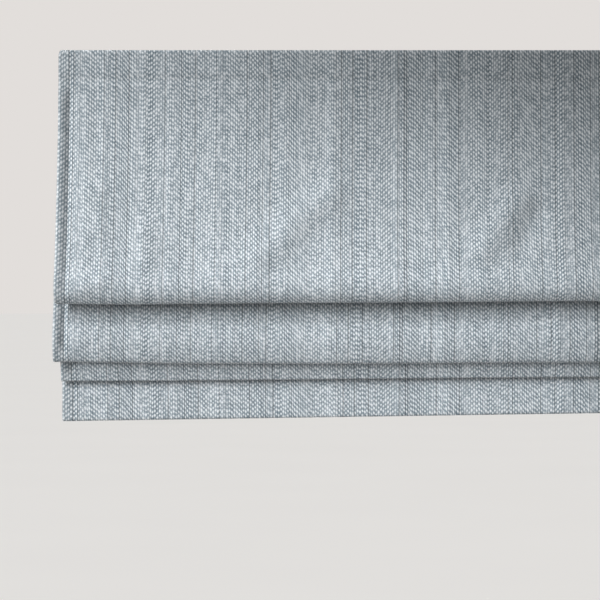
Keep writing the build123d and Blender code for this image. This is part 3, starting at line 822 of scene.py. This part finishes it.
# ----------------------------------------
# Hem bar: a flat aluminium strip with a plastic cap pressed on each end. It
# lies loose in the pocket of the hem, so it tilts a little with the cloth.
# ----------------------------------------
# Mill-finish aluminium: pale grey with fine rolling lines along the bar.
mill_aluminium, tree, shader = new_material("mill_finish_aluminium", Metallic=1.0, Roughness=0.36)
place = add_node(tree, "ShaderNodeTexCoord")
grain = add_node(
    tree, "ShaderNodeMapping", {"Vector": place.outputs["Object"], "Scale": (15.0, 3500.0, 3500.0)}
)
lines = add_node(tree, "ShaderNodeTexNoise", {"Vector": grain, "Scale": 1.0})
tone = add_node(tree, "ShaderNodeValToRGB", {"Fac": lines})
for stop, position, colour in zip(tone.color_ramp.elements, (0.3, 0.7), ("BFC1C2", "D6D7D8")):
    stop.position, stop.color = position, linear(colour)
tree.links.new(tone.outputs[0], shader.inputs["Base Color"])
bump = add_node(tree, "ShaderNodeBump", {"Height": lines, "Strength": 0.3, "Distance": 0.00008})
tree.links.new(bump.outputs[0], shader.inputs["Normal"])
for name, material, finish in (
    ("hem_bar", mill_aluminium, "bar_metal"),
    ("hem_bar_cap_left", acetal, "moulding"),
    ("hem_bar_cap_right", acetal, "moulding"),
):
    bar = bpy.data.objects.new(f"{name}_hung", nodes[name].data.copy())
    bpy.context.scene.collection.objects.link(bar)
    bpy.ops.object.select_all(action="DESELECT")
    bar.select_set(True)
    bpy.context.view_layer.objects.active = bar
    bpy.ops.object.mode_set(mode="EDIT")
    bpy.ops.mesh.select_all(action="SELECT")
    bpy.ops.mesh.remove_doubles(threshold=0.00001)
    bpy.ops.object.mode_set(mode="OBJECT")
    bpy.ops.object.shade_smooth_by_angle(angle=math.radians(35))
    for corner in bar.data.vertices:
        corner.co.z += hem_slope * corner.co.x + hem_drop * mm
        corner.co.x += hem_shift * mm
    bar.data.materials.clear()
    bar.data.materials.append(material)
    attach(bar, "gather_3")
    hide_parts(name)

# ----------------------------------------
# Ribs: pultruded glass-fibre rods that stiffen the folds. Each lies in three
# sleeves of lining cloth, which leave it bare where the cord eyes clip and for
# the last 2 mm at each end.
# ----------------------------------------
# Glass fibre in polyester resin: milky green-white, with the fibre bundles
# showing as fine lines along the rod under a slightly waxy skin.
glass_fibre, tree, shader = new_material("pultruded_glass_fibre", Roughness=0.38, IOR=1.53)
place = add_node(tree, "ShaderNodeTexCoord")
bundles = add_node(
    tree, "ShaderNodeMapping", {"Vector": place.outputs["Object"], "Scale": (25.0, 2500.0, 2500.0)}
)
lines = add_node(tree, "ShaderNodeTexNoise", {"Vector": bundles, "Scale": 1.0, "Detail": 3.0})
tone = add_node(tree, "ShaderNodeValToRGB", {"Fac": lines})
for stop, position, colour in zip(tone.color_ramp.elements, (0.3, 0.7), ("C3C9B8", "E2E4D6")):
    stop.position, stop.color = position, linear(colour)
tree.links.new(tone.outputs[0], shader.inputs["Base Color"])
bump = add_node(tree, "ShaderNodeBump", {"Height": lines, "Strength": 0.3, "Distance": 0.0001})
tree.links.new(bump.outputs[0], shader.inputs["Normal"])
finish_nodes(glass_fibre, "rib_1", "rib_2", "rib_3")

sleeve_radius = 2.45
rod_y = -33.2
# the three sleeves on a rib, from end to end across the width
sleeve_spans = [(-373.5, -290.5), (-275.5, 275.5), (290.5, 373.5)]
for number, (top, tab) in enumerate(((-109, -37.0), (-121, -38.3), (-133, -35.9)), 1):
    around = [(tab, top - 0.6)]
    for n in range(21):
        turn = math.radians(200 + (520 - 200) * n / 20)
        around.append(
            (rod_y + sleeve_radius * math.cos(turn), top + sleeve_radius * math.sin(turn))
        )
    around.append((tab, top + 0.4))
    strips = []
    for low, high in sleeve_spans:
        count = round((high - low) / 5)
        strips.append(
            [
                (low + (high - low) * n / count, 0.0, low + (high - low) * n / count)
                for n in range(count + 1)
            ]
        )

    def crease(x, z, share, down, height=top):
        slack = 0.12 * noise.noise(Vector((x / 9, down / 3, height)))
        return 0.0, slack * ease(share * 6) * ease((1 - share) * 6), 0.0, 0.0

    sleeve, length = sew_sheet(f"rib_sleeve_{number}", around, strips, 1, crease)
    give_thickness(sleeve, 0.3, False)
    sleeve.data.materials.append(lining_cloth)
    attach(sleeve, f"gather_{number}")

# ----------------------------------------
# Cord eyes: small C-shaped clips that snap on a rib and lead the lift cord.
# Moulded in clear polycarbonate, polished in the tool, so they read as glassy
# with a grey edge.
# ----------------------------------------
clear_clip, tree, shader = new_material(
    "clear_polycarbonate",
    Base_Color=linear("E9EEF0"),
    Roughness=0.12,
    IOR=1.58,
    Transmission_Weight=0.8,
)
place = add_node(tree, "ShaderNodeTexCoord")
streaks = add_node(
    tree, "ShaderNodeTexNoise", {"Vector": place.outputs["Object"], "Scale": 500.0, "Detail": 2.0}
)
rough = add_node(tree, "ShaderNodeMapRange", {"Value": streaks, "To Min": 0.08, "To Max": 0.2})
tree.links.new(rough.outputs[0], shader.inputs["Roughness"])
bump = add_node(tree, "ShaderNodeBump", {"Height": streaks, "Strength": 0.15, "Distance": 0.0001})
tree.links.new(bump.outputs[0], shader.inputs["Normal"])
finish_nodes(
    clear_clip, *(f"cord_eye_{number}_{end}" for number in (1, 2, 3) for end in ("left", "right"))
)

# ----------------------------------------
# Lift cords: 1.4 mm braided polyester, one at each side. Each runs from its
# spool through the three eyes to the stop it is tied off in. What is wound on
# the spool lies side by side in close turns.
# ----------------------------------------
cord_radius = 0.7
cord_y = -25.2
# Braid: eight carriers crossing at about 1 mm, off-white with a dry shine.
braid, tree, shader = new_material("braided_polyester_cord", Roughness=0.7, Sheen_Weight=0.1)
laid = add_node(tree, "ShaderNodeUVMap", uv_map="cord")
axes = add_node(tree, "ShaderNodeSeparateXYZ", {0: laid})
waves = []
for lean in (1, -1):
    twist = add_node(
        tree,
        "ShaderNodeMath",
        {0: axes.outputs[1], 1: lean * 2 * math.pi / (1.1 * mm)},
        operation="MULTIPLY",
    )
    angle = add_node(
        tree,
        "ShaderNodeMath",
        {0: axes.outputs[0], 1: 4 * math.pi, 2: twist},
        operation="MULTIPLY_ADD",
    )
    waves.append(add_node(tree, "ShaderNodeMath", {0: angle}, operation="SINE"))
crossing = add_node(tree, "ShaderNodeMath", dict(enumerate(waves)), operation="MAXIMUM")
tone = add_node(tree, "ShaderNodeValToRGB", {"Fac": crossing})
for stop, position, colour in zip(tone.color_ramp.elements, (0.0, 0.8), ("B5B3AB", "E8E6DF")):
    stop.position, stop.color = position, linear(colour)
tree.links.new(tone.outputs[0], shader.inputs["Base Color"])
bump = add_node(tree, "ShaderNodeBump", {"Height": crossing, "Strength": 0.6, "Distance": 0.0001})
tree.links.new(bump.outputs[0], shader.inputs["Normal"])

cord_runs = [
    (-4.5, -109.0, "rail", "gather_1"), (-109.0, -121.0, "gather_1", "gather_2"),
    (-121.0, -134.8, "gather_2", "gather_3"),
]
for end, x in (("left", -283.0), ("right", 283.0)):
    for number, (top, low, upper, lower) in enumerate(cord_runs, 1):
        rings = max(12, round((top - low) / 1.5))
        vertices, faces = [], []
        for ring in range(rings + 1):
            z = top + (low - top) * ring / rings
            for n in range(12):
                turn = 2 * math.pi * n / 12
                at = (x + cord_radius * math.cos(turn), cord_y + cord_radius * math.sin(turn), z)
                vertices.append([value * mm for value in at])
        for ring in range(rings):
            for n in range(12):
                a, b = ring * 12 + n, ring * 12 + (n + 1) % 12
                faces.append((a, a + 12, b + 12, b))
        faces.append(tuple(range(12)))
        faces.append(tuple(reversed(range(rings * 12, rings * 12 + 12))))
        mesh = bpy.data.meshes.new(f"lift_cord_{end}_{number}")
        mesh.from_pydata(vertices, [], faces)
        layer = mesh.uv_layers.new(name="cord")
        for face in mesh.polygons:
            wrap = len({v % 12 for v in face.vertices} & {0, 11}) == 2
            for loop in face.loop_indices:
                vertex = mesh.loops[loop].vertex_index
                around = vertex % 12 or (12 if wrap else 0)
                layer.data[loop].uv = (around / 12, -vertices[vertex][2])
        mesh.polygons.foreach_set("use_smooth", [True] * len(faces))
        cord = bpy.data.objects.new(f"lift_cord_{end}_{number}", mesh)
        bpy.context.scene.collection.objects.link(cord)
        cord.data.materials.append(braid)
        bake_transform(cord)
        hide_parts(f"lift_cord_{end}")

# Wound cord: the same braid lying in turns 1.4 mm wide along the spool, each
# one round and shaded where it meets the next.
wound_cord, tree, shader = new_material("wound_polyester_cord", Roughness=0.7)
place = add_node(tree, "ShaderNodeTexCoord")
axes = add_node(tree, "ShaderNodeSeparateXYZ", {0: place.outputs["Object"]})
turns = add_node(
    tree,
    "ShaderNodeMath",
    {0: axes.outputs[0], 1: math.pi / (2 * cord_radius * mm)},
    operation="MULTIPLY",
)
turns = add_node(tree, "ShaderNodeMath", {0: turns}, operation="COSINE")
turns = add_node(tree, "ShaderNodeMath", {0: turns}, operation="ABSOLUTE")
fuzz = add_node(
    tree, "ShaderNodeTexNoise", {"Vector": place.outputs["Object"], "Scale": 1100.0, "Detail": 2.0}
)
height = add_node(tree, "ShaderNodeMath", {0: fuzz, 1: 0.5, 2: turns}, operation="MULTIPLY_ADD")
tone = add_node(tree, "ShaderNodeValToRGB", {"Fac": height})
for stop, position, colour in zip(tone.color_ramp.elements, (0.2, 0.9), ("8F8D86", "E6E4DD")):
    stop.position, stop.color = position, linear(colour)
tree.links.new(tone.outputs[0], shader.inputs["Base Color"])
bump = add_node(tree, "ShaderNodeBump", {"Height": height, "Strength": 0.9, "Distance": 0.0005})
tree.links.new(bump.outputs[0], shader.inputs["Normal"])
finish_nodes(wound_cord, "cord_winding_left", "cord_winding_right")

# ----------------------------------------
# Stitching: polyester thread, lockstitched at about 3 mm. It closes the bar
# pocket across the hem, and sews the lining's side edges to the face cloth.
# ----------------------------------------
thread, tree, shader = new_material("polyester_thread", Roughness=0.6)
place = add_node(tree, "ShaderNodeTexCoord")
plies = add_node(
    tree, "ShaderNodeTexNoise", {"Vector": place.outputs["Object"], "Scale": 2400.0, "Detail": 1.0}
)
tone = add_node(tree, "ShaderNodeValToRGB", {"Fac": plies})
for stop, position, colour in zip(tone.color_ramp.elements, (0.3, 0.7), ("A9B1B5", "D5DADC")):
    stop.position, stop.color = position, linear(colour)
tree.links.new(tone.outputs[0], shader.inputs["Base Color"])
bump = add_node(tree, "ShaderNodeBump", {"Height": plies, "Strength": 0.4, "Distance": 0.0001})
tree.links.new(bump.outputs[0], shader.inputs["Normal"])


# one stitch: place along it, 1 for a ring or 0 for a point, and height
thread_rings = ((-1.15, 0, -0.1), (-0.7, 1, 0.1), (0.7, 1, 0.1), (1.15, 0, -0.1))
stitch_pitch = 3.2


def stitch(name, cloth_piece, starts, step, body):
    """Sews a row of stitches into the back of a piece of cloth. starts are
    their places as (x, z), and step the way along the row, in millimetres."""
    surface = BVHTree.FromObject(cloth_piece, bpy.context.evaluated_depsgraph_get())
    vertices, faces = [], []
    way = Vector((step[0], 0, step[1])).normalized()
    across = Vector((way.z, 0, -way.x))
    for x, z in starts:
        at = surface.ray_cast(Vector((x * mm, 0, z * mm)), Vector((0, -1, 0)))[0]
        first = len(vertices)
        for reach, size, rise in thread_rings:
            middle = at + (way * reach + Vector((0, rise, 0))) * mm
            if not size:
                vertices.append(middle)
                continue
            for a, b in ((0.24, 0), (0, 0.2), (-0.24, 0), (0, -0.2)):
                vertices.append(middle + (across * a + Vector((0, b, 0))) * mm)
        for n in range(4):
            a, b = first + 1 + n, first + 1 + (n + 1) % 4
            faces.append((first, b, a))
            faces.append((a, b, b + 4, a + 4))
            faces.append((first + 9, a + 4, b + 4))
    mesh = bpy.data.meshes.new(name)
    mesh.from_pydata(vertices, [], faces)
    seam = bpy.data.objects.new(name, mesh)
    bpy.context.scene.collection.objects.link(seam)
    bpy.ops.object.select_all(action="DESELECT")
    seam.select_set(True)
    bpy.context.view_layer.objects.active = seam
    bpy.ops.object.mode_set(mode="EDIT")
    bpy.ops.mesh.select_all(action="SELECT")
    bpy.ops.mesh.normals_make_consistent(inside=False)
    bpy.ops.object.mode_set(mode="OBJECT")
    mesh.polygons.foreach_set("use_smooth", [True] * len(faces))
    seam.data.materials.append(thread)
    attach(seam, body)


pocket_seam = []
for n in range(235):
    x = -374.4 + stitch_pitch * n
    pocket_seam.append((x + hem_shift, -365.6 + hem_slope * x + hem_drop))
stitch("pocket_seam", hem, pocket_seam, (1, hem_slope), "gather_3")
for end, x in (("left", -376.6), ("right", 376.6)):
    hem_edge = [(x + hem_shift, -146 - stitch_pitch * n) for n in range(65)]
    stitch(f"lining_seam_{end}_hem", hem_lining, hem_edge, (0, -1), "gather_3")
    top_edge = [(x, -24 - stitch_pitch * n) for n in range(24)]
    stitch(f"lining_seam_{end}_top", lining_pieces[0], top_edge, (0, -1), "rail")

# ----------------------------------------
# Studio: a plain pale floor about 0.1 m below the lowered hem, pale daylight
# all round, three softboxes at the left, one behind, and a broad soft sun above.
# ----------------------------------------
floor_grey, tree, shader = new_material(
    "matt_floor_paint", Base_Color=linear("F4F2EF"), Roughness=0.9
)
place = add_node(tree, "ShaderNodeTexCoord")
mottle = add_node(
    tree, "ShaderNodeTexNoise", {"Vector": place.outputs["Object"], "Scale": 0.7, "Detail": 2.0}
)
tone = add_node(tree, "ShaderNodeValToRGB", {"Fac": mottle})
tone.color_ramp.elements[0].color = linear("F2F1EF")
tone.color_ramp.elements[1].color = linear("F5F4F2")
tree.links.new(tone.outputs[0], shader.inputs["Base Color"])
bpy.ops.object.select_all(action="DESELECT")
floor_level = -1.72
bpy.ops.mesh.primitive_plane_add(size=400, location=(0, 0, floor_level))
floor = bpy.context.object
floor.name = "floor"
floor.data.transform(floor.matrix_world)
floor.matrix_world.identity()
floor.data.materials.append(floor_grey)

world = bpy.data.worlds.new("daylight")
world.use_nodes = True
bpy.context.scene.world = world
tree = world.node_tree
background = tree.nodes["Background"]
background.inputs["Strength"].default_value = 0.3
backdrop = add_node(tree, "ShaderNodeBackground", {"Color": linear("E2DEDB"), "Strength": 1.0})
background.inputs["Color"].default_value = linear("E2DEDB")
rays = add_node(tree, "ShaderNodeLightPath")
either = add_node(tree, "ShaderNodeMixShader", {0: rays.outputs[0], 1: background, 2: backdrop})
tree.links.new(either.outputs[0], tree.nodes["World Output"].inputs["Surface"])

# three softboxes at different heights on the left; their upper edge falls
# across the header
key_size = 1.8
key_distance = 1.5
key_spread = 18
turn = math.radians(40)
side = Vector((math.cos(turn), -math.sin(turn), 0))
lamps = []
for name, lift, power in (("low", 10, 5.0), ("middle", 25, 9.3), ("high", 43, 12.0)):
    rise = math.radians(lift)
    aim = Vector(
        (math.sin(turn) * math.cos(rise), math.cos(turn) * math.cos(rise), -math.sin(rise))
    )
    up = side.cross(aim)
    middle = Vector((0, -0.06, 0)) - key_distance * aim - (key_size / 2 - 0.31) * side
    at = middle - (key_size / 2 + 0.04) * up
    lamps.append((f"key_{name}", at, aim, key_size, key_spread, power))
lamps.append(("rear", (0.9, 2.2, 1.2), Vector((-0.34, -0.82, -0.5)), 1.4, 180, 25))
for name, at, aim, size, spread, power in lamps:
    bpy.ops.object.light_add(type="AREA", location=at)
    lamp = bpy.context.object
    lamp.name = name
    lamp.data.size = size
    lamp.data.spread = math.radians(spread)
    lamp.data.energy = power
    lamp.visible_camera = False
    lamp.rotation_euler = aim.to_track_quat("-Z", "Y").to_euler()
bpy.ops.object.light_add(type="SUN", location=(0, 0, 3))
bpy.context.object.data.energy = 1.97
bpy.context.object.data.angle = math.radians(25)
